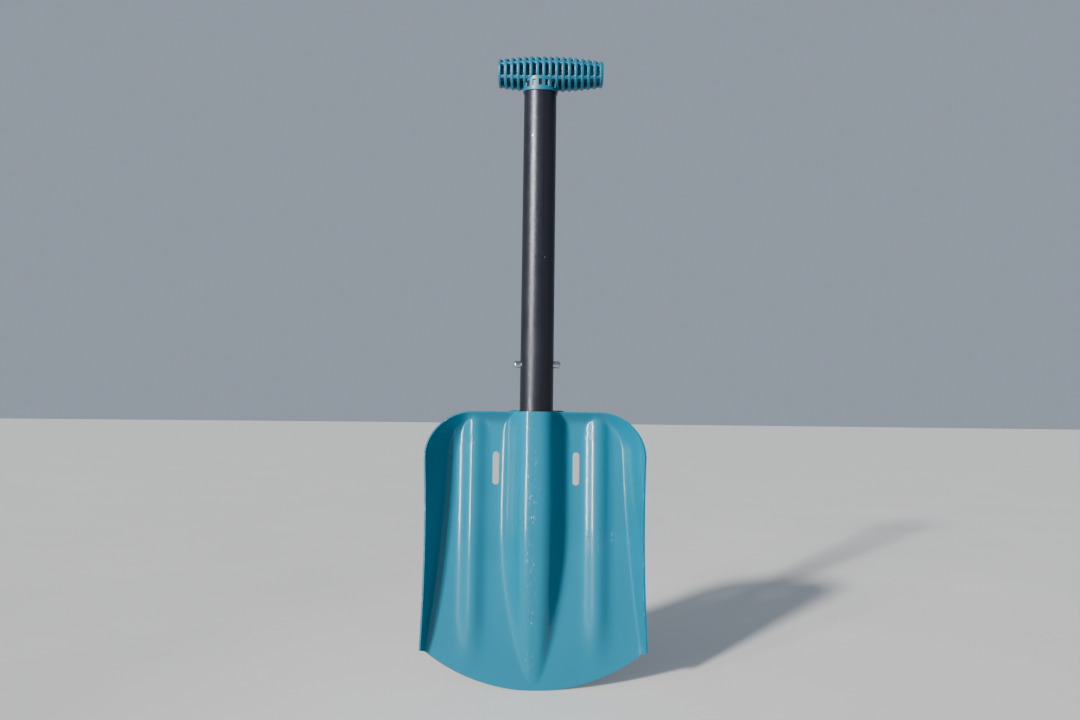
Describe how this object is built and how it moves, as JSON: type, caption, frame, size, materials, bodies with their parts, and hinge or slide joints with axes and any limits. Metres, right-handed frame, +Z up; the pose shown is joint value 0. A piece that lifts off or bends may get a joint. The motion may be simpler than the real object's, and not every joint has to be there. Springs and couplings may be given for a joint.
{
  "type": "avalanche shovel",
  "caption": "Compact avalanche shovel: pressed aluminium scoop blade, telescoping oval shaft locked by a pair of snap buttons, and a ribbed T-grip.",
  "frame": {"origin": "at the height of the cutting edge's tip, on the blade's centre line, midway through the shovel's depth", "axes": "+Z up the shaft towards the grip, -Y the way the open side of the scoop faces, +X to the right of a person looking into the scoop"},
  "size_m": [0.2324, 0.0446, 0.6685],
  "materials": {
    "blade_paint": "glossy powder coat on pressed aluminium",
    "weld_paint": "painted weld bead",
    "shaft_black": "satin black anodised",
    "lower_shaft_black": "satin black anodised, polished by sliding",
    "button_steel": "bright turned steel",
    "spring_steel": "rolled spring steel",
    "rivet_metal": "plain aluminium",
    "screw_steel": "zinc plated",
    "grip_plastic": "moulded nylon, satin",
    "glide_plastic": "acetal, satin",
    "anchor_plastic": "glass-filled nylon"
  },
  "bodies": {
    "blade_assembly": {"blade": "blade_paint", "socket_back": "blade_paint", "socket_welds": "weld_paint", "lower_shaft": "lower_shaft_black", "anchor_plug": "anchor_plastic", "anchor_rivets": "rivet_metal", "glide_cap": "glide_plastic", "button_spring": "spring_steel"},
    "upper_shaft_assembly": {"upper_shaft": "shaft_black", "shaft_end_guard": "glide_plastic", "grip": "grip_plastic", "grip_screws": "screw_steel"},
    "left_button": {"button_left": "button_steel"},
    "right_button": {"button_right": "button_steel"}
  },
  "joints": [
    {"name": "shaft_telescope", "type": "slide", "parent": "blade_assembly", "child": "upper_shaft_assembly", "axis": [0, 0, 1], "range_m": [0, 0.15], "deforming": ["button_spring", "button_left", "button_right"]},
    {"name": "button_left_press", "type": "slide", "parent": "blade_assembly", "child": "left_button", "axis": [1, 0, 0], "range_m": [0, 0.0072], "stiffness_N_per_m": 1500, "springref_m": -0.003},
    {"name": "button_right_press", "type": "slide", "parent": "blade_assembly", "child": "right_button", "axis": [-1, 0, 0], "range_m": [0, 0.0072], "stiffness_N_per_m": 1500, "springref_m": -0.003}
  ]
}
